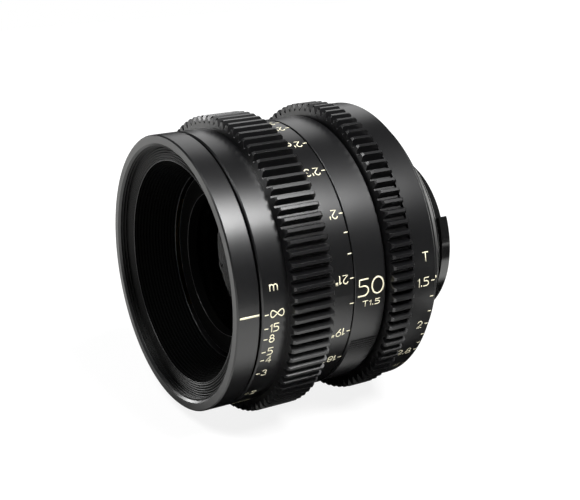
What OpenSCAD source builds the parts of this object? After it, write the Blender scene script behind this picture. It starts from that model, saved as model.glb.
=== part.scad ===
// Cinema prime lens with geared focus and iris rings, a sliding optical cell and a bladed iris.
// The optical axis lies along Y: the front glass looks toward -Y and the camera is toward +Y.
// The origin is the centre of the mount's seat plane, and +Z is up. All sizes are in mm.
// A station (z) is measured back from the front face, and a radius (r) from the optical axis.

/* [Barrel] */
// outer radius of the front ring, the focus ring and the fixed barrel
body_r = 33; // [31:0.5:35]
// length of the front ring
front_ring_l = 5.7; // [5.2:0.1:6.4]
// wall outside the filter thread
filter_wall = 2.5; // [2.3:0.1:2.8]
// ledge between the filter thread and the mouth of the front baffle
baffle_ledge = 3.8; // [3.5:0.1:4.1]
// length of the fixed barrel
barrel_l = 8.5; // [7.8:0.1:10]
// length of the rear cone
cone_l = 5; // [4.6:0.1:6]

/* [Gear rings] */
// height of the gears' pitch circle above the body
gear_rise = 2.2; // [2:0.1:2.4]
// width of the focus gear
focus_gear_w = 10.3; // [9.4:0.1:11.4]
// width of the iris gear
iris_gear_w = 5.8; // [5.4:0.1:6.4]
// height of the T-stop band above the body
scale_rise = 1.9; // [1.7:0.1:2.1]
// width of the T-stop band
scale_band_w = 6.6; // [6:0.1:7.2]

/* [Movement] */
// turn of the focus ring from infinity to its near stop, in degrees
focus_throw = 214; // [180:1:220]
// travel of the optical cell over the focus throw
cell_travel = 7.2; // [6.6:0.1:7.6]
// turn of the iris ring from wide open to closed, in degrees
iris_throw = 104; // [90:1:106]
// swing of each iris blade over the iris throw, in degrees
blade_swing = 37; // [34:1:37]

/* [Glass] */
// radius of the front element
front_glass_r = 19.2; // [17.8:0.1:20.4]
// wall of the rear cell round its glass
rear_wall = 2.9; // [2.7:0.1:3.2]

/* [Mount] */
// outer radius of the mount's seat
seat_r = 25.4; // [24:0.1:27]
// wall of the bayonet spigot
spigot_wall = 1.6; // [1.5:0.1:1.8]
// height of the bayonet lugs above the spigot
lug_rise = 2; // [1.8:0.1:2.2]

/* [Hidden] */
$fn = 96;
blade_count = 12;
blade_names = [for (k = [1 : blade_count]) str("iris_blade_", k)];
barrel_nodes = ["front_ring", "front_baffle", "core_sleeve", "fixed_barrel", "rear_housing",
    "bayonet_mount", "mount_screws", "front_set_screws", "barrel_set_screws", "focus_stop_pin",
    "focus_bush", "iris_thrust_ring"];
ring_nodes = ["focus_ring", "helicoid_ring", "iris_ring", "iris_drive_bar"];
cell_nodes = ["front_cell", "front_retainer", "front_element", "inner_spacer", "second_element",
    "third_element", "iris_housing", "iris_cam_plate", "rear_cell", "fourth_element", "fifth_element",
    "rear_spacer", "rear_element", "rear_retainer"];

// finishes
satin_black = [0.05, 0.05, 0.055];
gloss_black = [0.03, 0.03, 0.03];
matt_black = [0.02, 0.02, 0.02];
glass_tint = [0.6, 0.7, 0.85, 0.4];
brass = [0.72, 0.57, 0.28];
steel = [0.55, 0.55, 0.57];
black_plastic = [0.04, 0.04, 0.04];

// gaps between pieces that fit together: running, fixed, sliding, end to end, and ring to domed glass
run_gap = 0.08;
fit_gap = 0.03;
slide_gap = 0.1;
end_gap = 0.05;
glass_gap = 0.1;
// amount by which a cut passes beyond the piece that it cuts
over = 1;
// broken edges, and the finer ones at the seam behind the focus ring
edge = 0.3;
seam_edge = 0.1;

function polar(r, a) = [r * cos(a), r * sin(a)];
function turn(p, a) = [p[0] * cos(a) - p[1] * sin(a), p[0] * sin(a) + p[1] * cos(a)];
function mix(a, b, t) = a + (b - a) * t;
// height of a dome of radius curve over a circle of radius r
function sag(r, curve) = curve - sqrt(curve * curve - r * r);

// gear teeth: 0.8 module, 20 degree flanks, a whole number of teeth
gear_module = 0.8;
dedendum = 1.25 * gear_module;
flank = 20;
gear_teeth = round(2 * (body_r + gear_rise) / gear_module);
pitch_r = gear_module * gear_teeth / 2;
tip_r = pitch_r + gear_module;
root_r = pitch_r - dedendum;
tooth_t = PI * gear_module / 2;
tip_t = tooth_t - 2 * gear_module * tan(flank);
root_t = tooth_t + 2 * dedendum * tan(flank);
tooth_edge = 0.45;

// radii from the outside in: focus ring, helicoid ring, and the core sleeve that carries the whole lens
focus_wall = 2.5;
focus_step = 0.2;
focus_bore_r = body_r - focus_wall;
focus_rear_r = body_r - focus_step;
helicoid_wall = 1;
helicoid_bore_r = focus_bore_r - helicoid_wall;
helicoid_clear = 0.5;
sleeve_r = helicoid_bore_r - helicoid_clear;
sleeve_fit_r = sleeve_r + fit_gap;
sleeve_wall = 1.8;
sleeve_bore_r = sleeve_r - sleeve_wall;
front_spigot_wall = 0.8;
front_spigot_r = sleeve_r + front_spigot_wall;

// stations of the outside, from the front face back to the seat plane
focus_gap = 0.5;
focus_front_band = 6.7;
focus_rear_band = 6.9;
seam_gap = 0.2;
iris_gap = 0.4;
thrust_l = 0.3;
collar_l = 1.5;
flange_l = 1.6;
focus_z0 = front_ring_l + focus_gap;
focus_gear_z0 = focus_z0 + focus_front_band;
focus_gear_z1 = focus_gear_z0 + focus_gear_w;
focus_z1 = focus_gear_z1 + focus_rear_band;
barrel_z0 = focus_z1 + seam_gap;
barrel_z1 = barrel_z0 + barrel_l;
iris_z0 = barrel_z1 + iris_gap;
iris_gear_z1 = iris_z0 + iris_gear_w;
iris_z1 = iris_gear_z1 + scale_band_w;
collar_z0 = iris_z1 + thrust_l;
collar_z1 = collar_z0 + collar_l;
mount_z0 = collar_z1 + cone_l;
front_to_seat = mount_z0 + flange_l;

// front glass and what holds it, from the glass out to the nose of the cell
retainer_lip = 1.6;
retainer_wall = 1.35;
nose_wall = 1.75;
nose_clear = 0.6;
retainer_bore_r = front_glass_r - retainer_lip;
retainer_r = front_glass_r + retainer_wall;
nose_r = retainer_r + nose_wall;

// front ring and baffle: thread depth, lead-in, and the fine steps that stop reflections
thread_z = 2.6;
lead_in = 0.5;
baffle_rim_l = 1.4;
baffle_rim_w = 1.9;
baffle_l = 9.8;
baffle_wall = 0.95;
baffle_clear = 0.25;
baffle_steps = 14;
step_depth = 0.3;
filter_r = body_r - filter_wall;
baffle_seat_r = filter_r - baffle_rim_w;
baffle_seat_z = thread_z + baffle_rim_l;
baffle_z1 = thread_z + baffle_l;
baffle_front_r = filter_r - baffle_ledge;
baffle_rear_r = nose_r + nose_clear;
front_throat_r = baffle_front_r + baffle_wall + baffle_clear;

// lengths of the core sleeve and of the front ring's spigot on it
sleeve_inset = 0.8;
sleeve_back = 3.4;
front_spigot_l = 4.3;
sleeve_z0 = front_ring_l + sleeve_inset;
sleeve_z1 = mount_z0 - sleeve_back;
front_spigot_z = focus_z0 + front_spigot_l;

// fixed barrel, its spigot and hub, and the knurl on its underside
barrel_spigot_l = 2.4;
hub_step = 2.4;
hub_short = 0.2;
knurl_front = 0.8;
knurl_back = 0.6;
knurl_start = 22.5;
knurl_end = 157.5;
knurl_ridges = 100;
knurl_depth = 0.25;
knurl_sink = 0.05;
barrel_spigot_z = barrel_z0 - barrel_spigot_l;
hub_r = body_r - hub_step;
hub_z1 = iris_z1 - hub_short;
knurl_z0 = barrel_z0 + knurl_front;
knurl_z1 = barrel_z1 - knurl_back;

// focus bush and helicoid ring, both inside the focus ring
bush_inset = 0.6;
ring_clear = 0.3;
bush_z0 = focus_z0 + bush_inset;
bush_z1 = front_spigot_z - ring_clear;
helicoid_z0 = front_spigot_z + ring_clear;
helicoid_z1 = barrel_spigot_z - ring_clear;

// stop pin, in the middle of the focus ring's wall, and the arc groove that it runs in
stop_reach = 1.9;
stop_sink = 0.7;
stop_pin_r = 0.6;
stop_side = 0.1;
stop_angle = 200;
stop_end = 0.3;
stop_r = mix(focus_bore_r, focus_rear_r, 0.5);
stop_z0 = barrel_z0 - stop_reach;
stop_z1 = barrel_z0 + stop_sink;
stop_slack = asin(stop_pin_r / stop_r) + stop_end;

// iris ring and the thrust ring behind it
iris_bore_r = hub_r + run_gap;
scale_band_r = body_r + scale_rise;
thrust_inset = 0.4;
thrust_r0 = hub_r + thrust_inset;
thrust_r1 = body_r;

// rear housing: collar and cone
collar_rise = 0.2;
collar_step = 0.8;
cone_lip = 1.4;
collar_r = body_r + collar_rise;
cone_r0 = collar_r - collar_step;
cone_r1 = seat_r + cone_lip;

// bayonet mount, from the seat inward
seat_w = 3.6;
seat_relief_w = 2.3;
seat_relief = 0.4;
housing_clear = 0.2;
boss_l = 1.8;
spigot_l = 6;
lug_l = 2.4;
lug_starts = [-25, 95, 188];
lug_spans = [68, 56, 52];
lock_hole_r = 1.1;
lock_depth = 1;
lock_angle = -90;
seat_inner_r = seat_r - seat_w;
housing_bore_r = seat_inner_r + housing_clear;
spigot_r = seat_inner_r - seat_relief_w;
lug_r = spigot_r + lug_rise;
mount_bore_r = spigot_r - spigot_wall;
lock_r = mix(seat_inner_r, seat_r, 0.5);

// screws
mount_screw_count = 4;
mount_screw_r = lock_r;
mount_screw_angle = 45;
head_r = 1.2;
head_l = 0.8;
shank_r = 0.65;
mount_shank_l = 2.8;
set_screw_count = 3;
set_screw_r = 0.8;
set_screw_seat = 0.4;
set_screw_angle = 30;
front_screw_back = 2;
barrel_screw_inset = 1.8;
socket_r = 0.35;
socket_l = 0.5;
set_screw_root = sleeve_bore_r + set_screw_seat;
front_screw_z = front_spigot_z - front_screw_back;
barrel_screw_z = iris_z0 + barrel_screw_inset;

// front cell: helicoid pads, guide, nose and rear tube
pad_end = 0.1;
pad_l = 6.6;
pad_count = 3;
pad_span = 60;
pad_slack = 0.4;
pad_start = 20;
window_end = 0.3;
guide_lip = 0.2;
guide_tail = 0.9;
nose_l = 7.5;
tube_clear = 3.2;
pad_r = helicoid_bore_r - slide_gap;
pad_z1 = helicoid_z1 - pad_end;
pad_z0 = pad_z1 - pad_l;
guide_r = sleeve_bore_r - slide_gap;
guide_z0 = pad_z0 - guide_lip;
guide_z1 = pad_z1 + guide_tail;
nose_z0 = guide_z0 - nose_l;
cell_tube_r = sleeve_bore_r - tube_clear;

// front glass: lengths and curves, then the stations of its faces
retainer_l = 2.4;
front_glass_l = 7.2;
front_curve = 75;
front_air = 0.8;
second_step = 2.4;
second_glass_l = 5.1;
second_curve = 40;
inner_spacer_w = 1.2;
cement = 0.02;
third_step = 1.6;
third_glass_l = 6.3;
third_centre_l = 2.3;
stop_step = 1.2;
iris_curve = 25;
front_apex = nose_z0 + retainer_l + glass_gap - sag(retainer_bore_r, front_curve);
front_flat = nose_z0 + front_glass_l;
second_glass_r = front_glass_r - second_step;
second_apex = front_flat + front_air;
second_flat = second_apex + second_glass_l;
inner_spacer_z1 = second_apex + sag(second_glass_r - inner_spacer_w, second_curve) - glass_gap;
third_glass_r = second_glass_r - third_step;
third_flat = second_flat + cement;
third_apex = second_flat + third_centre_l;
third_rim = second_flat + third_glass_l;
front_stop_r = third_glass_r - stop_step;

// drive bar between the iris ring and the cam plate, clear of the cell's guide
bar_half = 1.2;
bar_clear = 0.8;
bar_front = 0.5;
bar_lap = 1.45;
bar_tail = 0.2;
bar_angle = 90;
leg_inset = 5;
leg_w = 2.2;
leg_depth = 1.25;
leg_window = 6;
leg_window_gap = 0.4;
bar_r0 = cell_tube_r + bar_clear;
bar_r1 = sleeve_bore_r - bar_clear;
leg_r1 = hub_r + leg_depth;
leg_z0 = iris_z0 + leg_inset;
leg_z1 = leg_z0 + leg_w;
bar_z0 = guide_z1 + bar_front;
bar_z1 = leg_z1 + bar_tail;

// cam plate that swings the blades, where the bar still reaches it at full travel
cam_t = 1.1;
cam_gap = 0.2;
cam_z0 = bar_z0 + bar_lap + cell_travel;
cam_z1 = cam_z0 + cam_t;

// iris blades, stacked in front of the cam plate, and the plate in front of them
blade_t = 0.1;
blade_step = 0.15;
blade_gap = 0.15;
iris_plate_l = 1;
pivot_pin_inset = 0.2;
blade_z0 = cam_z0 - cam_gap - blade_count * blade_step;
cell_tube_z = blade_z0 - blade_gap - iris_plate_l;
pivot_pin_z = cell_tube_z + pivot_pin_inset;

// iris housing
cup_rise = 0.2;
cup_wall = 0.7;
cam_window_gap = 0.25;
iris_cup_r = cell_tube_r + cup_rise;
iris_cup_bore_r = iris_cup_r - cup_wall;

// iris blades: pivot circle, band, ears and pins
pivot_inset = 1.9;
pivot_pin_r = 0.4;
pivot_ear_r = 0.9;
drive_arm = 7;
drive_start = 94.3;
drive_pin_r = 0.3;
drive_ear_r = 0.7;
drive_pin_short = 0.1;
band_inset = 1;
band_w = 5.4;
band_start = 3;
band_span = 105;
ear_lap = 0.6;
ear_rise = 0.8;
ear_span = 18.5;
pivot_r = iris_cup_bore_r - pivot_inset;
band_r1 = pivot_r - band_inset;
band_r0 = band_r1 - band_w;
ear_r0 = band_r1 - ear_lap;
ear_r1 = pivot_r + ear_rise;
drive_pin_z = cam_z1 - drive_pin_short;

// radii of the cam plate, its slots and its fork over the drive bar
cam_clear = 0.2;
cam_inset = 0.4;
slot_points = 26;
slot_end = 0.02;
fork_w = 1.5;
fork_root = 0.4;
fork_tip = 0.2;
fork_window = 9;
plate_inset = 0.3;
cam_r0 = band_r0 + cam_inset;
cam_r1 = iris_cup_bore_r - cam_clear;
slot_half = drive_pin_r + slide_gap;
fork_r0 = cam_r1 - fork_root;
fork_r1 = bar_r1 + fork_tip;
iris_plate_r = band_r0 - plate_inset;

// rear cell: flange on the iris housing and tube through the mount
cam_back = 0.35;
rear_flange_l = 1.4;
rear_stop_l = 1.6;
rear_clear = 0.5;
rear_cell_z0 = cam_z1 + cam_back;
iris_cup_z1 = rear_cell_z0 + rear_flange_l;
rear_flange_r = iris_cup_bore_r - end_gap;
rear_tube_r = mount_bore_r - rear_clear;

// rear glass: lengths and curves, then the stations of its faces
rear_stop_step = 0.9;
fourth_glass_l = 6.1;
fourth_bowl_l = 4;
fifth_glass_l = 6;
fifth_curve = 35;
rear_air = 0.5;
rear_spacer_w = 1.1;
rear_glass_l = 3.8;
rear_curve = 50;
rear_retainer_l = 1.4;
rear_retainer_wall = 1;
rear_retainer_lip = 1.7;
rear_glass_r = rear_tube_r - rear_wall;
rear_stop_r = rear_glass_r - rear_stop_step;
fourth_rim = rear_cell_z0 + rear_stop_l;
fourth_apex = fourth_rim + fourth_bowl_l;
fourth_flat = fourth_rim + fourth_glass_l;
fifth_flat = fourth_flat + cement;
fifth_apex = fourth_flat + fifth_glass_l;
rear_apex = fifth_apex + rear_air;
rear_spacer_r0 = rear_glass_r - rear_spacer_w;
rear_spacer_z0 = fifth_apex - sag(rear_spacer_r0, fifth_curve) + glass_gap;
rear_spacer_z1 = rear_apex + sag(rear_spacer_r0, rear_curve) - glass_gap;
rear_flat = rear_apex + rear_glass_l;
rear_cell_z1 = rear_flat + rear_retainer_l;
rear_retainer_r = rear_glass_r + rear_retainer_wall;
rear_retainer_bore_r = rear_glass_r - rear_retainer_lip;

// places a child that is drawn about the local Z axis at a station on the optical axis
module on_axis(z) {
    translate([0, z - front_to_seat, 0])
        rotate([-90, 0, 0])
            children();
}

// turned piece from a list of [radius, station] points
module turned(points) {
    on_axis(0)
        rotate_extrude()
            polygon(points);
}

// plain turned ring between two radii and two stations
module ring(r0, r1, z0, z1) {
    turned([[r0, z0], [r1, z0], [r1, z1], [r0, z1]]);
}

// part of a ring, from a start angle over a span
module ring_part(r0, r1, z0, z1, start, span) {
    on_axis(0)
        rotate([0, 0, start])
            rotate_extrude(angle = span)
                polygon([[r0, z0], [r1, z0], [r1, z1], [r0, z1]]);
}

// rod along the optical axis
module rod(r, z0, z1) {
    on_axis(z0)
        cylinder(r = r, h = z1 - z0);
}

// rod along the optical axis, set off from it at an angle
module off_rod(r, z0, z1, off, angle) {
    on_axis(z0)
        rotate([0, 0, angle])
            translate([off, 0, 0])
                cylinder(r = r, h = z1 - z0);
}

// rod that points out from the optical axis
module spoke(r, r0, r1, z, angle) {
    on_axis(z)
        rotate([0, 0, angle])
            translate([r0, 0, 0])
                rotate([0, 90, 0])
                    cylinder(r = r, h = r1 - r0);
}

// ball centred on the optical axis, whose face is a glass surface
module ball(r, z) {
    on_axis(z)
        sphere(r = r);
}

// block on the outward line at an angle, across from x0 to x1
module block(x0, x1, r0, r1, z0, z1, angle) {
    on_axis(z0)
        rotate([0, 0, angle])
            translate([r0, x0, 0])
                cube([r1 - r0, x1 - x0, z1 - z0]);
}

// teeth of one gear ring, as a solid disc with broken tooth ends
tooth_pitch = 360 / gear_teeth;
root_half = root_t / 2 / root_r * 180 / PI;
tip_half = tip_t / 2 / tip_r * 180 / PI;
tooth_line = [for (i = [0 : gear_teeth - 1])
    each [polar(root_r, i * tooth_pitch - root_half), polar(tip_r, i * tooth_pitch - tip_half),
        polar(tip_r, i * tooth_pitch + tip_half), polar(root_r, i * tooth_pitch + root_half)]];
module gear_disc(z0, z1) {
    intersection() {
        on_axis(z0)
            linear_extrude(height = z1 - z0)
                polygon(tooth_line);
        turned([[0, z0], [tip_r - tooth_edge, z0], [tip_r + edge, z0 + tooth_edge + edge],
            [tip_r + edge, z1 - tooth_edge - edge], [tip_r - tooth_edge, z1], [0, z1]]);
    }
}

// path of one blade's drive pin as the cam plate sees it, from wide open (0) to closed (1)
function drive_pin(t) = [pivot_r, 0] + polar(drive_arm, drive_start + blade_swing * t);
function slot_path(t) = turn(drive_pin(t), iris_throw * t);
function slot_step(t) = slot_path(t + slot_end / 2) - slot_path(t - slot_end / 2);
function slot_dir(t) = slot_step(t) / norm(slot_step(t));
function slot_side(t, side) = slot_path(t) + side * slot_half * turn(slot_dir(t), 90);
slot_times = [for (i = [0 : slot_points]) mix(-slot_end, 1 + slot_end, i / slot_points)];
slot_line = concat([for (t = slot_times) slot_side(t, 1)],
    [for (i = [slot_points : -1 : 0]) slot_side(slot_times[i], -1)]);

// front ring with the filter thread bore, screwed on the core sleeve
module front_ring() {
    color(satin_black)
        difference() {
            turned([[filter_r + lead_in, 0], [body_r - edge, 0], [body_r, edge], [body_r, front_ring_l - edge],
                [body_r - edge, front_ring_l], [front_spigot_r, front_ring_l], [front_spigot_r, front_spigot_z],
                [sleeve_fit_r, front_spigot_z], [sleeve_fit_r, sleeve_z0], [front_throat_r, sleeve_z0],
                [front_throat_r, baffle_seat_z], [baffle_seat_r, baffle_seat_z], [baffle_seat_r, thread_z],
                [filter_r, thread_z], [filter_r, lead_in]]);
            for (k = [0 : set_screw_count - 1])
                spoke(set_screw_r + fit_gap, sleeve_r - over, front_spigot_r + over, front_screw_z,
                    set_screw_angle + k * 360 / set_screw_count);
        }
}

// conical front baffle with fine steps, seated in the front ring
function baffle_r(t) = mix(baffle_front_r, baffle_rear_r, t);
function baffle_z(t) = mix(thread_z, baffle_z1, t);
baffle_bore = [for (i = [0 : baffle_steps - 1])
    each [[baffle_r(i / baffle_steps), baffle_z(i / baffle_steps)],
        [baffle_r(i / baffle_steps) + step_depth, baffle_z((i + 0.5) / baffle_steps)],
        [baffle_r((i + 0.5) / baffle_steps), baffle_z((i + 0.5) / baffle_steps)]]];
module front_baffle() {
    color(matt_black)
        turned(concat(baffle_bore, [[baffle_rear_r, baffle_z1], [baffle_rear_r + baffle_wall, baffle_z1],
            [baffle_front_r + baffle_wall, baffle_seat_z], [baffle_seat_r - end_gap, baffle_seat_z],
            [baffle_seat_r - end_gap, thread_z]]));
}

// opening in the fixed tubes for the drive bar's leg, over the whole iris throw
module leg_opening() {
    ring_part(sleeve_bore_r - over, hub_r + over, leg_z0 - leg_window_gap, leg_z1 + leg_window_gap,
        bar_angle - iris_throw - leg_window, iris_throw + 2 * leg_window);
}

// fixed tube through the lens, with windows for the helicoid pads and the drive bar
module core_sleeve() {
    color(satin_black)
        difference() {
            ring(sleeve_bore_r, sleeve_r, sleeve_z0, sleeve_z1);
            for (k = [0 : pad_count - 1])
                ring_part(sleeve_bore_r - over, sleeve_r + over, pad_z0 - cell_travel - window_end,
                    pad_z1 + window_end, pad_start - pad_slack + k * 360 / pad_count, pad_span + 2 * pad_slack);
            leg_opening();
            for (k = [0 : set_screw_count - 1]) {
                spoke(set_screw_r + fit_gap, set_screw_root - fit_gap, sleeve_r + over, front_screw_z,
                    set_screw_angle + k * 360 / set_screw_count);
                spoke(set_screw_r + fit_gap, set_screw_root - fit_gap, sleeve_r + over, barrel_screw_z,
                    set_screw_angle + k * 360 / set_screw_count);
            }
        }
}

// knurl on the barrel's underside, as the space between its ridges
knurl_low = body_r - knurl_sink - knurl_depth;
knurl_high = body_r - knurl_sink;
function knurl_angle(i) = mix(knurl_start, knurl_end, i / knurl_ridges);
knurl_line = concat([for (i = [0 : knurl_ridges - 1])
    each [polar(knurl_high, knurl_angle(i)), polar(knurl_low, knurl_angle(i + 0.5))]],
    [polar(knurl_high, knurl_end)],
    [for (i = [4 : -1 : 0]) polar(body_r + 3 * over, mix(knurl_start, knurl_end, i / 4))]);

// fixed barrel between the focus and iris rings, with the hub that the iris ring turns on
module fixed_barrel() {
    color(satin_black)
        difference() {
            turned([[sleeve_fit_r, barrel_spigot_z], [focus_bore_r - run_gap, barrel_spigot_z],
                [focus_bore_r - run_gap, barrel_z0], [body_r - seam_edge, barrel_z0],
                [body_r, barrel_z0 + seam_edge], [body_r, barrel_z1 - edge], [body_r - edge, barrel_z1],
                [hub_r, barrel_z1], [hub_r, hub_z1], [sleeve_fit_r, hub_z1]]);
            on_axis(knurl_z0)
                linear_extrude(height = knurl_z1 - knurl_z0)
                    polygon(knurl_line);
            leg_opening();
            off_rod(stop_pin_r + fit_gap, barrel_z0 - over, stop_z1 + end_gap, stop_r, stop_angle);
            for (k = [0 : set_screw_count - 1])
                spoke(set_screw_r + fit_gap, sleeve_r - over, hub_r + over, barrel_screw_z,
                    set_screw_angle + k * 360 / set_screw_count);
        }
}

// conical housing behind the iris ring, screwed on the core sleeve
module rear_housing() {
    color(satin_black)
        difference() {
            turned([[sleeve_fit_r, collar_z0], [collar_r - edge, collar_z0], [collar_r, collar_z0 + edge],
                [collar_r, collar_z1 - edge], [cone_r0, collar_z1], [cone_r1, mount_z0],
                [housing_bore_r, mount_z0], [housing_bore_r, sleeve_z1], [sleeve_fit_r, sleeve_z1]]);
            for (k = [0 : mount_screw_count - 1])
                off_rod(shank_r + fit_gap, mount_z0 - mount_shank_l, mount_z0 + over, mount_screw_r,
                    mount_screw_angle + k * 360 / mount_screw_count);
        }
}

// camera bayonet: seat flange, spigot and lugs
module bayonet_mount() {
    color(gloss_black)
        difference() {
            union() {
                turned([[mount_bore_r, mount_z0 - boss_l], [housing_bore_r - end_gap, mount_z0 - boss_l],
                    [housing_bore_r - end_gap, mount_z0], [seat_r, mount_z0], [seat_r, front_to_seat - edge],
                    [seat_r - edge, front_to_seat], [seat_inner_r, front_to_seat],
                    [seat_inner_r, front_to_seat - seat_relief], [spigot_r, front_to_seat - seat_relief],
                    [spigot_r, front_to_seat + spigot_l - edge], [spigot_r - edge, front_to_seat + spigot_l],
                    [mount_bore_r, front_to_seat + spigot_l]]);
                for (k = [0 : len(lug_starts) - 1])
                    ring_part(mix(mount_bore_r, spigot_r, 0.5), lug_r, front_to_seat + spigot_l - lug_l,
                        front_to_seat + spigot_l, lug_starts[k], lug_spans[k]);
            }
            for (k = [0 : mount_screw_count - 1]) {
                off_rod(shank_r + fit_gap, mount_z0 - over, front_to_seat + over, mount_screw_r,
                    mount_screw_angle + k * 360 / mount_screw_count);
                off_rod(head_r + end_gap, front_to_seat - head_l - end_gap, front_to_seat + over, mount_screw_r,
                    mount_screw_angle + k * 360 / mount_screw_count);
            }
            off_rod(lock_hole_r, front_to_seat - lock_depth, front_to_seat + over, lock_r, lock_angle);
        }
}

// screws that hold the bayonet on the housing, with a driver socket in each head
module mount_screws() {
    color(steel)
        for (k = [0 : mount_screw_count - 1]) {
            a = mount_screw_angle + k * 360 / mount_screw_count;
            difference() {
                union() {
                    off_rod(shank_r, mount_z0 - mount_shank_l + end_gap, front_to_seat - end_gap,
                        mount_screw_r, a);
                    off_rod(head_r, front_to_seat - head_l, front_to_seat - end_gap, mount_screw_r, a);
                }
                off_rod(socket_r, front_to_seat - socket_l, front_to_seat + over, mount_screw_r, a);
            }
        }
}

// one ring of set screws, flush with the radius that they are driven from
module set_screws(z, outer_r) {
    color(steel)
        for (k = [0 : set_screw_count - 1]) {
            a = set_screw_angle + k * 360 / set_screw_count;
            difference() {
                spoke(set_screw_r, set_screw_root, outer_r - end_gap, z, a);
                spoke(socket_r, outer_r - socket_l, outer_r + over, z, a);
            }
        }
}

// set screws that lock the front ring on the core sleeve
module front_set_screws() {
    set_screws(front_screw_z, front_spigot_r);
}

// set screws that lock the fixed barrel on the core sleeve
module barrel_set_screws() {
    set_screws(barrel_screw_z, hub_r);
}

// pin in the barrel's front face that stops the focus ring at both ends
module focus_stop_pin() {
    color(steel)
        off_rod(stop_pin_r, stop_z0, stop_z1, stop_r, stop_angle);
}

// bearing bush under the front of the focus ring
module focus_bush() {
    color(brass)
        ring(front_spigot_r + fit_gap, focus_bore_r - run_gap, bush_z0, bush_z1);
}

// thrust ring between the iris ring and the rear housing
module iris_thrust_ring() {
    color(black_plastic)
        ring(thrust_r0, thrust_r1, iris_z1 + fit_gap, collar_z0 - fit_gap);
}

// focus ring with its gear and the arc groove for the stop pin
module focus_ring() {
    color(gloss_black)
        difference() {
            union() {
                turned([[0, focus_z0], [body_r - edge, focus_z0], [body_r, focus_z0 + edge],
                    [body_r, focus_gear_z0 + edge], [focus_rear_r, focus_gear_z0 + edge],
                    [focus_rear_r, focus_z1 - seam_edge], [focus_rear_r - seam_edge, focus_z1], [0, focus_z1]]);
                gear_disc(focus_gear_z0, focus_gear_z1);
            }
            rod(focus_bore_r, focus_z0 - over, focus_z1 + over);
            ring_part(stop_r - stop_pin_r - stop_side, stop_r + stop_pin_r + stop_side, stop_z0 - slide_gap,
                focus_z1 + over, stop_angle - stop_slack, focus_throw + 2 * stop_slack);
        }
}

// brass ring fixed in the focus ring, whose thread drives the pads of the cell
module helicoid_ring() {
    color(brass)
        ring(helicoid_bore_r, focus_bore_r - end_gap, helicoid_z0, helicoid_z1);
}

// iris ring with its gear, its T-stop band and the pocket for the drive bar
module iris_ring() {
    color(gloss_black)
        difference() {
            union() {
                turned([[0, iris_gear_z1 - over], [root_r - edge, iris_gear_z1 - over],
                    [root_r - edge, iris_gear_z1], [scale_band_r, iris_gear_z1],
                    [scale_band_r, iris_z1 - edge], [scale_band_r - edge, iris_z1], [0, iris_z1]]);
                gear_disc(iris_z0, iris_gear_z1);
            }
            rod(iris_bore_r, iris_z0 - over, iris_z1 + over);
            block(-bar_half - fit_gap, bar_half + fit_gap, hub_r - over, leg_r1 + end_gap,
                leg_z0 - end_gap, leg_z1 + end_gap, bar_angle);
        }
}

// bar fixed in the iris ring that reaches inward and turns the cam plate, while the cell slides past it
module iris_drive_bar() {
    color(steel)
        union() {
            block(-bar_half, bar_half, bar_r0, bar_r1, bar_z0, bar_z1, bar_angle);
            block(-bar_half, bar_half, bar_r0, leg_r1, leg_z0, leg_z1, bar_angle);
        }
}

// front half of the sliding cell, with three helicoid pads
module front_cell() {
    front_seat_z = nose_z0 + retainer_l + end_gap;
    front_seat_r = front_glass_r + end_gap;
    second_seat_r = second_glass_r + end_gap;
    third_seat_r = third_glass_r + end_gap;
    color(matt_black)
        union() {
            turned([[retainer_r + end_gap, nose_z0], [nose_r, nose_z0], [nose_r, guide_z0], [guide_r, guide_z0],
                [guide_r, guide_z1], [cell_tube_r, guide_z1], [cell_tube_r, cell_tube_z],
                [front_stop_r, cell_tube_z], [front_stop_r, third_rim + end_gap],
                [third_seat_r, third_rim + end_gap], [third_seat_r, second_flat + end_gap],
                [second_seat_r, second_flat + end_gap], [second_seat_r, front_flat + end_gap],
                [front_seat_r, front_flat + end_gap], [front_seat_r, front_seat_z],
                [retainer_r + end_gap, front_seat_z]]);
            for (k = [0 : pad_count - 1])
                ring_part(guide_r - over, pad_r, pad_z0, pad_z1, pad_start + k * 360 / pad_count, pad_span);
        }
}

// threaded ring that holds the front element
module front_retainer() {
    color(matt_black)
        ring(retainer_bore_r, retainer_r, nose_z0, nose_z0 + retainer_l);
}

// front element, domed toward the subject
module front_element() {
    color(glass_tint)
        intersection() {
            rod(front_glass_r, front_apex - over, front_flat);
            ball(front_curve, front_apex + front_curve);
        }
}

// spacer between the front and second elements
module inner_spacer() {
    color(matt_black)
        ring(second_glass_r - inner_spacer_w, second_glass_r, front_flat + end_gap, inner_spacer_z1);
}

// second element, the domed half of the front pair
module second_element() {
    color(glass_tint)
        intersection() {
            rod(second_glass_r, second_apex - over, second_flat);
            ball(second_curve, second_apex + second_curve);
        }
}

// third element, the hollow half of the front pair, facing the iris
module third_element() {
    color(glass_tint)
        difference() {
            rod(third_glass_r, third_flat, third_rim);
            ball(iris_curve, third_apex + iris_curve);
        }
}

// cup behind the front cell that holds the blades' pivots and the cam plate
module iris_housing() {
    color(matt_black)
        difference() {
            turned([[iris_plate_r, cell_tube_z], [iris_cup_r, cell_tube_z], [iris_cup_r, iris_cup_z1],
                [iris_cup_bore_r, iris_cup_z1], [iris_cup_bore_r, cell_tube_z + iris_plate_l],
                [iris_plate_r, cell_tube_z + iris_plate_l]]);
            for (k = [0 : blade_count - 1])
                off_rod(pivot_pin_r + end_gap, cell_tube_z - over, cell_tube_z + iris_plate_l + edge,
                    pivot_r, k * 360 / blade_count);
            ring_part(iris_cup_bore_r - edge, iris_cup_r + over, cam_z0 - cam_window_gap,
                cam_z1 + cam_window_gap, bar_angle - iris_throw - fork_window,
                iris_throw + 2 * fork_window);
        }
}

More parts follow.
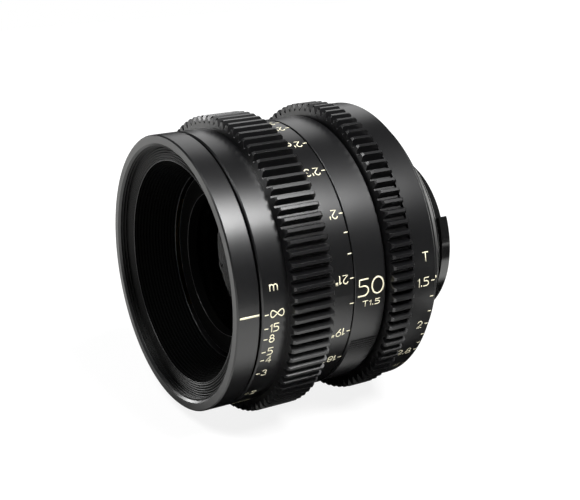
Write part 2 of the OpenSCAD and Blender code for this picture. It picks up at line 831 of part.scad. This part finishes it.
// plate with spiral slots that swings all the blades together, forked over the drive bar
module iris_cam_plate() {
    color(matt_black)
        difference() {
            union() {
                ring(cam_r0, cam_r1, cam_z0, cam_z1);
                block(bar_half + slide_gap, bar_half + slide_gap + fork_w, fork_r0, fork_r1, cam_z0, cam_z1,
                    bar_angle);
                block(-bar_half - slide_gap - fork_w, -bar_half - slide_gap, fork_r0, fork_r1, cam_z0, cam_z1,
                    bar_angle);
            }
            for (k = [0 : blade_count - 1])
                on_axis(cam_z0 - over)
                    rotate([0, 0, k * 360 / blade_count])
                        linear_extrude(height = cam_z1 - cam_z0 + 2 * over)
                            polygon(slot_line);
        }
}

// one iris blade: curved band, ear, pivot pin to the front and drive pin to the rear
module iris_blade(k) {
    a = k * 360 / blade_count;
    z0 = blade_z0 + k * blade_step;
    z1 = z0 + blade_t;
    pin = drive_pin(0);
    pin_off = norm(pin);
    pin_angle = atan2(pin[1], pin[0]);
    color(matt_black)
        union() {
            ring_part(band_r0, band_r1, z0, z1, a + band_start, band_span);
            ring_part(ear_r0, ear_r1, z0, z1, a, ear_span);
            off_rod(pivot_ear_r, z0, z1, pivot_r, a);
            off_rod(pivot_pin_r, pivot_pin_z, z1, pivot_r, a);
            off_rod(drive_ear_r, z0, z1, pin_off, a + pin_angle);
            off_rod(drive_pin_r, z0, drive_pin_z, pin_off, a + pin_angle);
        }
}

// rear half of the sliding cell
module rear_cell() {
    color(matt_black)
        turned([[rear_stop_r, rear_cell_z0], [rear_flange_r, rear_cell_z0], [rear_flange_r, iris_cup_z1],
            [rear_tube_r, iris_cup_z1], [rear_tube_r, rear_cell_z1], [rear_retainer_r + end_gap, rear_cell_z1],
            [rear_retainer_r + end_gap, rear_flat + fit_gap], [rear_glass_r + end_gap, rear_flat + fit_gap],
            [rear_glass_r + end_gap, fourth_rim - end_gap], [rear_stop_r, fourth_rim - end_gap]]);
}

// fourth element, the hollow half of the rear pair, facing the iris
module fourth_element() {
    color(glass_tint)
        difference() {
            rod(rear_glass_r, fourth_rim, fourth_flat);
            ball(iris_curve, fourth_apex - iris_curve);
        }
}

// fifth element, the domed half of the rear pair
module fifth_element() {
    color(glass_tint)
        intersection() {
            rod(rear_glass_r, fifth_flat, fifth_apex + over);
            ball(fifth_curve, fifth_apex - fifth_curve);
        }
}

// spacer between the rear pair and the rear element
module rear_spacer() {
    color(matt_black)
        ring(rear_spacer_r0, rear_glass_r, rear_spacer_z0, rear_spacer_z1);
}

// rear element
module rear_element() {
    color(glass_tint)
        intersection() {
            rod(rear_glass_r, rear_apex - over, rear_flat);
            ball(rear_curve, rear_apex + rear_curve);
        }
}

// threaded ring that holds the rear elements
module rear_retainer() {
    color(matt_black)
        ring(rear_retainer_bore_r, rear_retainer_r, rear_flat + end_gap, rear_cell_z1);
}

front_ring();
front_baffle();
core_sleeve();
fixed_barrel();
rear_housing();
bayonet_mount();
mount_screws();
front_set_screws();
barrel_set_screws();
focus_stop_pin();
focus_bush();
iris_thrust_ring();
focus_ring();
helicoid_ring();
iris_ring();
iris_drive_bar();
front_cell();
front_retainer();
front_element();
inner_spacer();
second_element();
third_element();
iris_housing();
iris_cam_plate();
rear_cell();
fourth_element();
fifth_element();
rear_spacer();
rear_element();
rear_retainer();
iris_blade(0);  // iris_blade_1
iris_blade(1);  // iris_blade_2
iris_blade(2);  // iris_blade_3
iris_blade(3);  // iris_blade_4
iris_blade(4);  // iris_blade_5
iris_blade(5);  // iris_blade_6
iris_blade(6);  // iris_blade_7
iris_blade(7);  // iris_blade_8
iris_blade(8);  // iris_blade_9
iris_blade(9);  // iris_blade_10
iris_blade(10);  // iris_blade_11
iris_blade(11);  // iris_blade_12
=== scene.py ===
import bpy
import numpy as np
from mathutils import Matrix, Vector


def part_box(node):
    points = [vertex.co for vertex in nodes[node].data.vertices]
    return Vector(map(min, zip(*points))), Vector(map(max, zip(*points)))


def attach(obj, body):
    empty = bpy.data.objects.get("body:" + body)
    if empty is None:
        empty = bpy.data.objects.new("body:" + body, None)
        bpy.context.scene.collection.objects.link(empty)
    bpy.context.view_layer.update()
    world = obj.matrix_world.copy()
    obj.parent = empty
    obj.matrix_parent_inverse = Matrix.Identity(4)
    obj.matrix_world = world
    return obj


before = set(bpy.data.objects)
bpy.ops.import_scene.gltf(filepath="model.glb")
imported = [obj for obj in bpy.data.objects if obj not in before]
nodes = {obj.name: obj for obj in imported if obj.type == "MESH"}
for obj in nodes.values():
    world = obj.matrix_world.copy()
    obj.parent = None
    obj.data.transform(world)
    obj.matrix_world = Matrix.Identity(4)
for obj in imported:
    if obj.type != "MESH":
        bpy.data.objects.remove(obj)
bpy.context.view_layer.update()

# Camera: a product shot from the front right, a little above the lens and level side to side.
# Its place and focal length were fitted to the rims of the front ring and of the gears.
camera = bpy.data.objects.new("camera", bpy.data.cameras.new("camera"))
camera.data.sensor_width = 36.0
camera.data.lens = 76.4
right = Vector((0.5113, 0.8594, 0.0))
forward = Vector((-0.8128, 0.4835, -0.3249))
up = right.cross(forward)
eye = Vector((0.2487, -0.1752, 0.0997))
aim = Matrix((right, up, -forward)).transposed().to_4x4()
camera.matrix_world = Matrix.Translation(eye) @ aim
bpy.context.scene.collection.objects.link(camera)
bpy.context.scene.camera = camera
bpy.context.scene.view_settings.view_transform = "Standard"


# Floor and studio light: a white table with painted shade round the lens, a dark patch standing
# for the lens's shadow that shows only in the metal and glass. A softbox above the right rear
# draws the bright line along the barrel.
# Weaker ones stand at the upper left, over the front, and low at the left for the rim's chamfer.
def linear(code):
    """Turns an sRGB hex colour into linear RGBA."""
    srgb = np.array([int(code[i:i + 2], 16) for i in (1, 3, 5)]) / 255.0
    rgb = np.where(srgb <= 0.04045, srgb / 12.92, ((srgb + 0.055) / 1.055) ** 2.4)
    return (*rgb.tolist(), 1.0)


def add(tree, kind, links=None, **values):
    """Adds a shader node, sets its properties or sockets, and links sockets by name: output."""
    item = tree.nodes.new(kind)
    for name, value in values.items():
        if hasattr(item, name):
            setattr(item, name, value)
        else:
            item.inputs[name.replace("_", " ")].default_value = value
    for name, output in (links or {}).items():
        tree.links.new(output, item.inputs[name])
    return item


def new_material(name):
    """Starts an empty node material and returns it with its tree and output node."""
    material = bpy.data.materials.new(name)
    material.use_nodes = True
    material.node_tree.nodes.clear()
    return material, material.node_tree, add(material.node_tree, "ShaderNodeOutputMaterial")


def mesh_object(name, points, faces, material):
    """Makes one smooth mesh object from points in metres and faces, and gives it a material."""
    mesh = bpy.data.meshes.new(name)
    mesh.from_pydata(points.tolist(), [], [face.tolist() for face in faces])
    mesh.polygons.foreach_set("use_smooth", np.ones(len(mesh.polygons), bool))
    mesh.materials.append(material)
    piece = bpy.data.objects.new(name, mesh)
    bpy.context.scene.collection.objects.link(piece)
    return piece


table, tree, out = new_material("pale_table_and_painted_shade")
path = add(tree, "ShaderNodeLightPath")
spot = add(tree, "ShaderNodeTexCoord").outputs["Object"]
place = add(tree, "ShaderNodeSeparateXYZ", {0: spot})


def fade(output, start, end, low=0.0):
    """Rises softly from a low value at one place on the table to 1 at another, in metres."""
    item = add(tree, "ShaderNodeMapRange", {"Value": output}, interpolation_type="SMOOTHSTEP")
    item.inputs["From Min"].default_value = start
    item.inputs["From Max"].default_value = end
    item.inputs["To Min"].default_value = low
    return item.outputs[0]


def join(how, *outputs):
    """Joins the shares of pale table by their product or by the largest."""
    total = outputs[0]
    for output in outputs[1:]:
        total = add(tree, "ShaderNodeMath", {0: total, 1: output}, operation=how).outputs[0]
    return total


# the table stays pale right of the lens, before its front, at its right rear and far behind it;
# elsewhere near the lens it is painted shade standing for the lens's shadow, and close before
# its front it is painted a little darker
x, y = place.outputs["X"], place.outputs["Y"]
beside = join("MULTIPLY", fade(x, 0.032, 0.046), fade(y, 0.014, -0.016))
front = join("MULTIPLY", fade(y, -0.060, -0.068), fade(y, -0.08, -0.17, 0.75))
corner = join("MULTIPLY", fade(x, 0.030, 0.040), fade(x, 0.085, 0.070), fade(y, 0.016, 0.026))
behind = fade(y, 0.12, 0.18)
# painted shade: the dark colour stands for the lens's shadow on the table
painted_shade_black, pale_laminate = linear("#1C1C1C"), linear("#F2F2F0")
tone = add(tree, "ShaderNodeMixRGB", {"Fac": join("MAXIMUM", beside, front, corner, behind)})
tone.inputs["Color1"].default_value = painted_shade_black
tone.inputs["Color2"].default_value = pale_laminate
# seen through the glass it is all painted shade, so that the glass looks nearly black
through = add(tree, "ShaderNodeMixRGB", {"Fac": path.outputs["Is Transmission Ray"],
                                         "Color1": tone.outputs[0]})
through.inputs["Color2"].default_value = painted_shade_black
matt = add(tree, "ShaderNodeBsdfDiffuse", {"Color": through.outputs[0]})
# the camera sees white, with a faint shadow near the lens
away = add(tree, "ShaderNodeVectorMath", {0: spot}, operation="LENGTH")
near = fade(away.outputs["Value"], 0.08, 0.17, 0.86)
white = add(tree, "ShaderNodeEmission", {"Strength": near})
shade = add(tree, "ShaderNodeBsdfDiffuse", Color=linear("#6E6E6E"))
bright = add(tree, "ShaderNodeAddShader", {0: white.outputs[0], 1: shade.outputs[0]})
shown = add(tree, "ShaderNodeMixShader",
            {0: path.outputs["Is Camera Ray"], 1: matt.outputs[0], 2: bright.outputs[0]})
tree.links.new(shown.outputs[0], out.inputs["Surface"])
table_top = -0.0361
corners = np.array([[-0.6, -0.6, table_top], [0.3, -0.6, table_top],
                    [0.3, 0.6, table_top], [-0.6, 0.6, table_top]])
floor = mesh_object("floor", corners, np.array([[0, 1, 2, 3]]), table)

world = bpy.data.worlds.new("studio")
bpy.context.scene.world = world
world.use_nodes = True
world.node_tree.nodes.clear()
sky_out = add(world.node_tree, "ShaderNodeOutputWorld")
path = add(world.node_tree, "ShaderNodeLightPath")
room = add(world.node_tree, "ShaderNodeBackground", Color=linear("#FFFFFF"), Strength=0.04)
white = add(world.node_tree, "ShaderNodeBackground", Color=linear("#FFFFFF"), Strength=1.0)
shown = add(world.node_tree, "ShaderNodeMixShader",
            {0: path.outputs["Is Camera Ray"], 1: room.outputs[0], 2: white.outputs[0]})
world.node_tree.links.new(shown.outputs[0], sky_out.inputs["Surface"])


def softbox(name, place, target, size, watts):
    """Adds a rectangular soft light at a place, aimed at a target."""
    lamp = bpy.data.lights.new(name, "AREA")
    lamp.shape = "RECTANGLE"
    lamp.size, lamp.size_y = size
    lamp.energy = watts
    item = bpy.data.objects.new(name, lamp)
    aim = (Vector(target) - Vector(place)).to_track_quat("-Z", "Y")
    item.matrix_world = Matrix.Translation(place) @ aim.to_matrix().to_4x4()
    bpy.context.scene.collection.objects.link(item)


softbox("key_softbox", (0.29, 0.09, 0.45), (0.0, -0.05, 0.0), (0.14, 0.24), 5.6)
softbox("left_softbox", (-0.50, 0.28, 0.36), (0.0, -0.03, 0.0), (0.26, 0.44), 0.5)
softbox("front_softbox", (0.06, -0.36, 0.55), (0.02, -0.05, 0.0), (0.25, 0.25), 3.6)
softbox("rim_softbox", (-0.45, -0.17, 0.045), (0.005, -0.06, -0.03), (0.10, 0.10), 0.5)


# Turned aluminium barrels: front ring, fixed barrel, rear housing and core sleeve.
# Each is turned from bar, fine blasted and anodised black, and screws on the core sleeve.
# The blasting leaves a satin skin with broad soft highlights.
def metal(name, colour, rough, grain_mm, grain_depth,
          edge_mm=0.0, metallic=0.0, coat=0.0, sheen=0.5):
    """Makes a blasted, coated metal: a fine grain in mm lifts the surface and varies its tone,
    wide patches vary its gloss, and its edges are rounded by a small radius in mm."""
    patch_mm, gloss_spread, tone_spread = 1000.0 / 90.0, 0.04, 0.15
    material, tree, out = new_material(name)
    place = add(tree, "ShaderNodeTexCoord").outputs["Object"]
    grain = add(tree, "ShaderNodeTexNoise", {"Vector": place}, Scale=1000.0 / grain_mm, Detail=2.0)
    patches = add(tree, "ShaderNodeTexNoise", {"Vector": place},
                  Scale=1000.0 / patch_mm, Detail=3.0)
    gloss = add(tree, "ShaderNodeMapRange", {"Value": patches.outputs[0]})
    gloss.inputs["To Min"].default_value = rough - gloss_spread
    gloss.inputs["To Max"].default_value = rough + gloss_spread
    tone = add(tree, "ShaderNodeMixRGB", {"Fac": grain.outputs[0]})
    rgb = linear(colour)[:3]
    tone.inputs["Color1"].default_value = [c * (1.0 - tone_spread) for c in rgb] + [1.0]
    tone.inputs["Color2"].default_value = [c * (1.0 + tone_spread) for c in rgb] + [1.0]
    bump = add(tree, "ShaderNodeBump", {"Height": grain.outputs[0]},
               Strength=0.3, Distance=grain_depth / 1000.0)
    if edge_mm:
        bevel = add(tree, "ShaderNodeBevel", samples=4, Radius=edge_mm / 1000.0)
        tree.links.new(bevel.outputs[0], bump.inputs["Normal"])
    skin = add(tree, "ShaderNodeBsdfPrincipled",
               {"Base Color": tone.outputs[0], "Roughness": gloss.outputs[0],
                "Normal": bump.outputs[0]}, Metallic=metallic)
    skin.inputs["Coat Weight"].default_value = coat
    skin.inputs["Specular IOR Level"].default_value = sheen
    tree.links.new(skin.outputs[0], out.inputs["Surface"])
    return material


def dress(names, material):
    """Gives CAD nodes a material."""
    for name in names:
        nodes[name].data.materials.clear()
        nodes[name].data.materials.append(material)


satin_black = metal("satin_black_anodised", "#0E0E0F", 0.32, 0.10, 0.004, 0.08)
dress(["front_ring", "fixed_barrel", "rear_housing", "core_sleeve"], satin_black)

# Gear rings: the focus ring and the iris ring, milled with 0.8 module teeth for a follow-focus
# drive. They are anodised aluminium like the barrels, and the focus ring screws on its brass ring.
# The cut teeth are smoother than the blasted barrels and catch more light on their tips.
gear_black = metal("gear_black_anodised", "#0C0C0D", 0.30, 0.12, 0.003, 0.08)
dress(["focus_ring", "iris_ring"], gear_black)

# Inside of the barrel: baffle, lens cells, retainers, spacers, iris housing and cam plate.
# All are turned aluminium, dyed matt black so that they throw no light back at the glass.
matt_black = metal("matt_black_interior", "#020202", 0.75, 0.15, 0.006, sheen=0.03)
dress(["front_baffle", "front_cell", "rear_cell", "front_retainer", "rear_retainer",
       "inner_spacer", "rear_spacer", "iris_housing", "iris_cam_plate"], matt_black)

# Iris blades: thin stamped spring steel, blackened, each turning on a pin in the iris housing.
# They overlap in a ring, and their pins run in the spiral slots of the cam plate.
# The blackening is dull, so they look like dark grey paper.
blade_black = metal("blackened_blade_steel", "#161618", 0.45, 0.20, 0.002)
dress([name for name in nodes if name.startswith("iris_blade")], blade_black)

# Bayonet mount: aluminium, turned and hard anodised black, held by four small screws.
# It is glossier than the barrel because the lugs are lapped to slide in the camera's throat.
mount_black = metal("polished_black_mount", "#101010", 0.15, 0.20, 0.002, 0.10, coat=0.3)
dress(["bayonet_mount"], mount_black)

# Small steel and brass parts: screws, stop pin, drive bar, bearing bush and helicoid ring.
# They are turned and left bare, so they shine, but most of them are hidden inside.
turned_steel = metal("turned_steel", "#9A9A9C", 0.32, 0.20, 0.003, metallic=1.0)
dress(["mount_screws", "front_set_screws", "barrel_set_screws", "focus_stop_pin",
       "iris_drive_bar"], turned_steel)
turned_brass = metal("turned_brass", "#C2A05A", 0.30, 0.20, 0.003, metallic=1.0)
dress(["focus_bush", "helicoid_ring"], turned_brass)

# Thrust ring: a thin slip ring of black bearing plastic between the iris ring and the housing.
# It is cut from sheet, lies loose in its gap and looks dull.
slip_plastic = metal("black_slip_plastic", "#0E0E0E", 0.50, 0.30, 0.004)
dress(["iris_thrust_ring"], slip_plastic)

# Glass: six polished elements, dropped into the cells and held by threaded retainers.
# Their coating leaves a faint blue reflection, so the IOR is below that of bare glass (1.52).
# Their ground edges, which face away from the axis, are painted black.
coated_glass, tree, out = new_material("coated_optical_glass")
normal = add(tree, "ShaderNodeNewGeometry").outputs["Normal"]
facing = add(tree, "ShaderNodeSeparateXYZ", {0: normal})
along = add(tree, "ShaderNodeMath", {0: facing.outputs["Y"]}, operation="ABSOLUTE")
polished = add(tree, "ShaderNodeMapRange", {"Value": along.outputs[0]})
polished.inputs["From Min"].default_value = 0.05
polished.inputs["From Max"].default_value = 0.15
tone = add(tree, "ShaderNodeMixRGB", {"Fac": polished.outputs[0]})
tone.inputs["Color1"].default_value = linear("#050505")
tone.inputs["Color2"].default_value = linear("#BCC0CC")
skin = add(tree, "ShaderNodeBsdfPrincipled",
           {"Base Color": tone.outputs[0], "Transmission Weight": polished.outputs[0]},
           Roughness=0.02, IOR=1.15)
skin.inputs["Specular Tint"].default_value = linear("#1E2848")
tree.links.new(skin.outputs[0], out.inputs["Surface"])
dress([name for name in nodes if name.endswith("_element")], coated_glass)

# Filter thread: fine M62 x 0.75 thread cut in the mouth of the front ring, dyed a duller black.
# It is made here because the solid has a plain bore.
seat_station = 60.0


def around(radius, station, turn):
    """Points on the lens: x is radius times cosine of the turn, y the station less that of the
    seat plane, z radius times sine of the turn. Radius and station are in mm, the station from
    the front face, and the turn is in degrees up from the right side."""
    angle = np.radians(turn)
    along = station - seat_station + 0.0 * angle
    return np.stack([radius * np.cos(angle), along, radius * np.sin(angle)], -1) / 1000.0


def closed_grid(rows, columns, row_loop, column_loop):
    """Quads of a grid of points, closed on itself along its rows or columns where asked."""
    i, j = np.meshgrid(np.arange(rows if row_loop else rows - 1),
                       np.arange(columns if column_loop else columns - 1), indexing="ij")
    i, j = i.ravel(), j.ravel()
    k, m = (i + 1) % rows, (j + 1) % columns
    return np.stack([i * columns + j, k * columns + j, k * columns + m, i * columns + m], -1)


thread_black = metal("dyed_black_thread", "#050505", 0.42, 0.15, 0.004, sheen=0.12)
pitch, thread_front, thread_length = 0.75, 0.52, 2.06
root_radius, thread_depth, back_radius = 30.44, 0.36, 30.48
ring_sides, thread_steps = 240, 25
ring_turns = np.linspace(0.0, 360.0, ring_sides, endpoint=False)
# the crest follows a cosine along the axis, moved on by one pitch in each turn
turn, part = np.meshgrid(ring_turns, np.linspace(0.0, 1.0, thread_steps), indexing="ij")
stations = thread_front + thread_length * part
crest = 0.5 + 0.5 * np.cos(2.0 * np.pi * (stations - turn / 360.0 * pitch) / pitch)
inner = around(root_radius - thread_depth * crest, stations, turn)
outer = around(back_radius + 0.0 * part, stations, turn)
loop = np.concatenate([inner, outer[:, ::-1]], 1)
thread = mesh_object("filter_thread", loop.reshape(-1, 3),
                     closed_grid(ring_sides, 2 * thread_steps, True, True), thread_black)
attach(thread, "barrel")


# Light-trap ridges: fine rings turned in the ledge between the filter thread and the baffle.
# They are dyed like the thread, and each ridge shows as a thin line.
# They are made here because the solids have a plain ledge.
def turned_ring(name, radii, stations, material, body):
    """A turned ring: a closed profile of radii and stations in mm, carried once round the axis."""
    turn = ring_turns[:, None] + 0.0 * radii
    points = around(radii + 0.0 * turn, stations + 0.0 * turn, turn)
    faces = closed_grid(ring_sides, len(radii), True, True)
    piece = mesh_object(name, points.reshape(-1, 3), faces, material)
    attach(piece, body)


ledge_outer, ledge_inner, ridge_count = 30.46, 26.95, 6
ledge_station, ledge_back, ridge_height = 2.57, 2.595, 0.22
radii = np.linspace(ledge_outer, ledge_inner, 8 * ridge_count + 1)
wave = 2.0 * np.pi * ridge_count * (ledge_outer - radii) / (ledge_outer - ledge_inner)
ridges = ledge_station - ridge_height * (0.5 - 0.5 * np.cos(wave))
turned_ring("ledge_ridges", np.concatenate([radii, radii[::-1]]),
            np.concatenate([ridges, ledge_back + 0.0 * radii]),
            thread_black, "barrel")


# Turned edges: the corners of the baffle's mouth and throat, the cell's nose and the retainer.
# The tool leaves them rounded and smoother than the dyed faces, so they catch thin arcs of light.
def rounded_edge(name, radius, station, half, body):
    """A round edge: a small circle about a corner in mm, carried once round the axis."""
    angle = np.linspace(0.0, -2.0 * np.pi, 12, endpoint=False)
    turned_ring(name, radius + half * np.cos(angle), station + half * np.sin(angle),
                satin_black, body)


nose_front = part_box("front_retainer")[0][1] * 1000.0 + seat_station
throat_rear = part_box("front_baffle")[1][1] * 1000.0 + seat_station
rounded_edge("baffle_mouth_edge", 26.74, 2.62, 0.12, "barrel")
rounded_edge("baffle_throat_edge", 22.97, throat_rear - 0.08, 0.10, "barrel")
rounded_edge("nose_edge", 22.24, nose_front + 0.06, 0.08, "cell")
rounded_edge("retainer_edge", 17.66, nose_front + 0.06, 0.08, "cell")


# Scales: numbers and ticks cut in the rings with a fine cutter and filled with cream paint.
# Each scale is one piece of ribbons of even width, drawn as strokes and laid on its ring.
# The paint is half matt, so it keeps its colour in any light.
def arc(x, y, rx, ry, start, end, count=20):
    """Points on an ellipse from one angle to another, in degrees."""
    angle = np.radians(np.linspace(start, end, count))
    return np.stack([x + rx * np.cos(angle), y + ry * np.sin(angle)], -1)


def line(*points):
    """Points of a bent line."""
    return np.array(points, float)


def run(*pieces):
    """One stroke from arcs and lines that follow each other."""
    return np.concatenate(pieces)


# each character has its width and its strokes, for a height of 1; "o" is the sign for infinity
loop_8 = np.linspace(0.0, 2.0 * np.pi, 40)
glyphs = {
    "0": (0.80, [arc(0.40, 0.5, 0.40, 0.5, 90.0, 450.0, 40)]),
    "1": (0.20, [line((0.0, 0.78), (0.2, 1.0), (0.2, 0.0))]),
    "2": (0.66, [run(arc(0.32, 0.70, 0.31, 0.30, 160.0, -38.0), line((0.02, 0.0), (0.66, 0.0)))]),
    "3": (0.62, [run(arc(0.29, 0.75, 0.27, 0.25, 150.0, -80.0),
                     arc(0.29, 0.26, 0.32, 0.26, 80.0, -150.0))]),
    "4": (0.70, [line((0.54, 0.0), (0.54, 1.0), (0.0, 0.26), (0.70, 0.26))]),
    "5": (0.68, [run(line((0.66, 1.0), (0.07, 1.0), (0.05, 0.60)),
                     arc(0.37, 0.30, 0.31, 0.30, 90.0, -90.0), line((0.0, 0.0)))]),
    "6": (0.66, [line((0.52, 1.0), (0.07, 0.46)), arc(0.33, 0.31, 0.32, 0.31, 150.0, 510.0, 32)]),
    "7": (0.62, [line((0.0, 1.0), (0.62, 1.0), (0.20, 0.0))]),
    "8": (0.66, [arc(0.33, 0.76, 0.25, 0.24, 90.0, 450.0, 28),
                 arc(0.33, 0.27, 0.32, 0.27, 90.0, 450.0, 28)]),
    "9": (0.66, [line((0.14, 0.0), (0.59, 0.54)), arc(0.33, 0.69, 0.32, 0.31, -30.0, 330.0, 32)]),
    ".": (0.10, [line((0.05, 0.0), (0.05, 0.10))]),
    "'": (0.12, [line((0.07, 1.0), (0.05, 0.72))]),
    '"': (0.30, [line((0.07, 1.0), (0.05, 0.72)), line((0.25, 1.0), (0.23, 0.72))]),
    "T": (0.70, [line((0.0, 1.0), (0.70, 1.0)), line((0.35, 1.0), (0.35, 0.0))]),
    "m": (0.96, [line((0.0, 0.0), (0.0, 0.68)),
                 run(arc(0.24, 0.44, 0.24, 0.23, 170.0, 0.0), line((0.48, 0.0))),
                 run(arc(0.72, 0.44, 0.24, 0.23, 170.0, 0.0), line((0.96, 0.0)))]),
    "o": (1.80, [np.stack([0.90 + 0.90 * np.cos(loop_8),
                           0.50 + 0.43 * np.sin(2.0 * loop_8)], -1)]),
}
letter_gap = 0.26


def words(text, height):
    """Strokes of a line of characters, in mm from its lower left corner, and its length."""
    strokes, along = [], 0.0
    for letter in text:
        width, lines = glyphs[letter]
        strokes += [(points + [along, 0.0]) * height for points in lines]
        along += width + letter_gap
    return strokes, (along - letter_gap) * height


def tick(length):
    """The one stroke of a straight mark along the axis, in mm."""
    return [line((0.0, 0.0), (length / 2.0, 0.0), (length, 0.0))]


def lay(strokes, radius, station, turn, way):
    """Moves strokes to a place on a ring: along the axis and up the ring, or both reversed
    where way is -1."""
    return [(radius, np.stack([station + way * points[:, 0],
                               turn + way * np.degrees(points[:, 1] / radius)], -1))
            for points in strokes]


def ribbon(radius, points, width):
    """A flat ribbon on a ring along a bent line: each side is the line moved half a width along
    its normal, and the ribbon stands 0.035 mm proud with closed edges."""
    flat = points * [1.0, np.radians(radius)]
    step = np.gradient(flat, axis=0)
    step /= np.linalg.norm(step, axis=1, keepdims=True)
    flat[0] -= step[0] * width * 0.4
    flat[-1] += step[-1] * width * 0.4
    side = np.stack([-step[:, 1], step[:, 0]], -1) * width / 2.0
    loop = np.stack([flat - side, flat + side, flat + side, flat - side], 1)
    height = np.broadcast_to(radius + np.array([0.035, 0.035, 0.005, 0.005]), loop.shape[:2])
    points = around(height, loop[..., 0], np.degrees(loop[..., 1] / radius))
    count = len(flat)
    caps = np.array([[0, 1, 2, 3], [0, 3, 2, 1]]) + [[0], [4 * (count - 1)]]
    return points.reshape(-1, 3), np.concatenate([closed_grid(count, 4, False, True), caps])


def scale(name, marks, width, body):
    """Joins the ribbons of a scale into one piece that rides its ring."""
    ribbons = [ribbon(radius, points, width) for radius, points in marks]
    starts = np.cumsum([0] + [len(points) for points, _ in ribbons])
    points = np.concatenate([points for points, _ in ribbons])
    faces = np.concatenate([faces + start for (_, faces), start in zip(ribbons, starts)])
    piece = mesh_object(name, points, faces, cream_paint)
    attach(piece, body)


speck_mm = 1.0 / 9.0
cream_paint, tree, out = new_material("cream_scale_paint")
place = add(tree, "ShaderNodeTexCoord").outputs["Object"]
speck = add(tree, "ShaderNodeTexNoise", {"Vector": place}, Scale=1000.0 / speck_mm, Detail=2.0)
tone = add(tree, "ShaderNodeMixRGB", {"Fac": speck.outputs[0]})
tone.inputs["Color1"].default_value = linear("#D8D2B4")
tone.inputs["Color2"].default_value = linear("#EBE5CA")
skin = add(tree, "ShaderNodeBsdfPrincipled", {"Base Color": tone.outputs[0]}, Roughness=0.55)
tree.links.new(skin.outputs[0], out.inputs["Surface"])

# radii of the marked faces: plain barrel, rear band of the focus ring, and iris ring
barrel_radius, feet_radius, stop_radius = 33.0, 32.8, 34.9
fine_stroke = 0.25

marks = []
for text, turn in (("o", -0.9), ("15", -6.7), ("8", -11.4), ("5", -17.4), ("4", -21.6),
                   ("3", -29.2), ("2", -44.4), ("1.5", -58.0), ("1.2", -72.0), ("1", -88.0),
                   ("0.8", -113.0), ("0.7", -132.0), ("0.6", -159.0), ("0.5", -200.0)):
    marks += lay(tick(0.8), barrel_radius, 6.85, turn, 1)
    marks += lay(words(text, 1.85)[0], barrel_radius, 8.25, turn - 1.6, 1)
marks += lay(words("m", 1.95)[0], barrel_radius, 8.3, 8.4, 1)
scale("metre_scale", marks, fine_stroke, "focus")

# the feet are read from the other side, so they run the other way
marks = []
for text, turn in (('18"', -31.8), ('19"', -16.7), ("", -4.0), ('21"', 6.6), ("", 16.4),
                   ("", 24.9), ("2'", 32.7), ("2'3", 52.2), ("2'6", 68.5), ("2'9", 82.8),
                   ("3'", 91.0), ("3'6", 105.0), ("4'", 115.5), ("5'", 129.0), ("7'", 144.5),
                   ("10'", 155.5), ("20'", 168.0), ("o", 179.1)):
    marks += lay(tick(0.8), feet_radius, 29.95, turn, -1)
    marks += lay(words(text, 1.95)[0], feet_radius, 28.5, turn + 1.65, -1)
scale("feet_scale", marks, fine_stroke, "focus")

# the stops end in line with each other, before their ticks
marks = []
for text, turn in (("1.5", 0.1), ("", -6.5), ("", -13.2), ("2", -19.2), ("", -24.9),
                   ("", -29.7), ("2.8", -34.3), ("4", -46.0), ("5.6", -60.5), ("8", -75.0),
                   ("11", -89.5), ("16", -103.9)):
    strokes, length = words(text, 2.0)
    marks += lay(tick(0.7), stop_radius, 50.3, turn, 1)
    marks += lay(strokes, stop_radius, 49.4 - length, turn - 1.65, 1)
marks += lay(words("T", 2.05)[0], stop_radius, 47.95, 8.3, 1)
scale("stop_scale", marks, fine_stroke, "iris")

marks = lay(words("50", 3.92)[0], barrel_radius, 31.18, -1.7, 1)
scale("focal_length", marks, 0.36, "barrel")
wide = [points * [1.5, 1.0] for points in words("T1.5", 1.25)[0]]
marks = lay(wide, barrel_radius, 32.5, -6.3, 1)
scale("widest_stop", marks, 0.20, "barrel")
marks = lay(tick(4.4), barrel_radius, 0.8, -0.2, 1)
scale("focus_index", marks, 0.46, "barrel")

# Iris index: one round cream dot on the rear collar, drilled and filled like the scales.
# It marks the stop that is set.
dot_radius, collar_radius, dot_station, dot_sides = 0.38, 33.2, 52.65, 24
dot_turns = np.linspace(0.0, 2.0 * np.pi, dot_sides, endpoint=False)
turn, step = np.meshgrid(dot_turns, np.arange(3), indexing="ij")
# a low drum with a soft upper rim and two flat ends
reach = dot_radius * np.array([0.9, 1.0, 1.0])[step]
height = np.array([0.040, 0.025, 0.005])[step]
disc = around(collar_radius + height, dot_station + reach * np.cos(turn),
              np.degrees(reach * np.sin(turn) / collar_radius))
rim = closed_grid(dot_sides, 3, True, False)[:, ::-1]
top = np.arange(0, 3 * dot_sides, 3)
faces = [*rim, top, (top + 2)[::-1]]
dot = mesh_object("iris_index_dot", disc.reshape(-1, 3), faces, cream_paint)
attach(dot, "barrel")
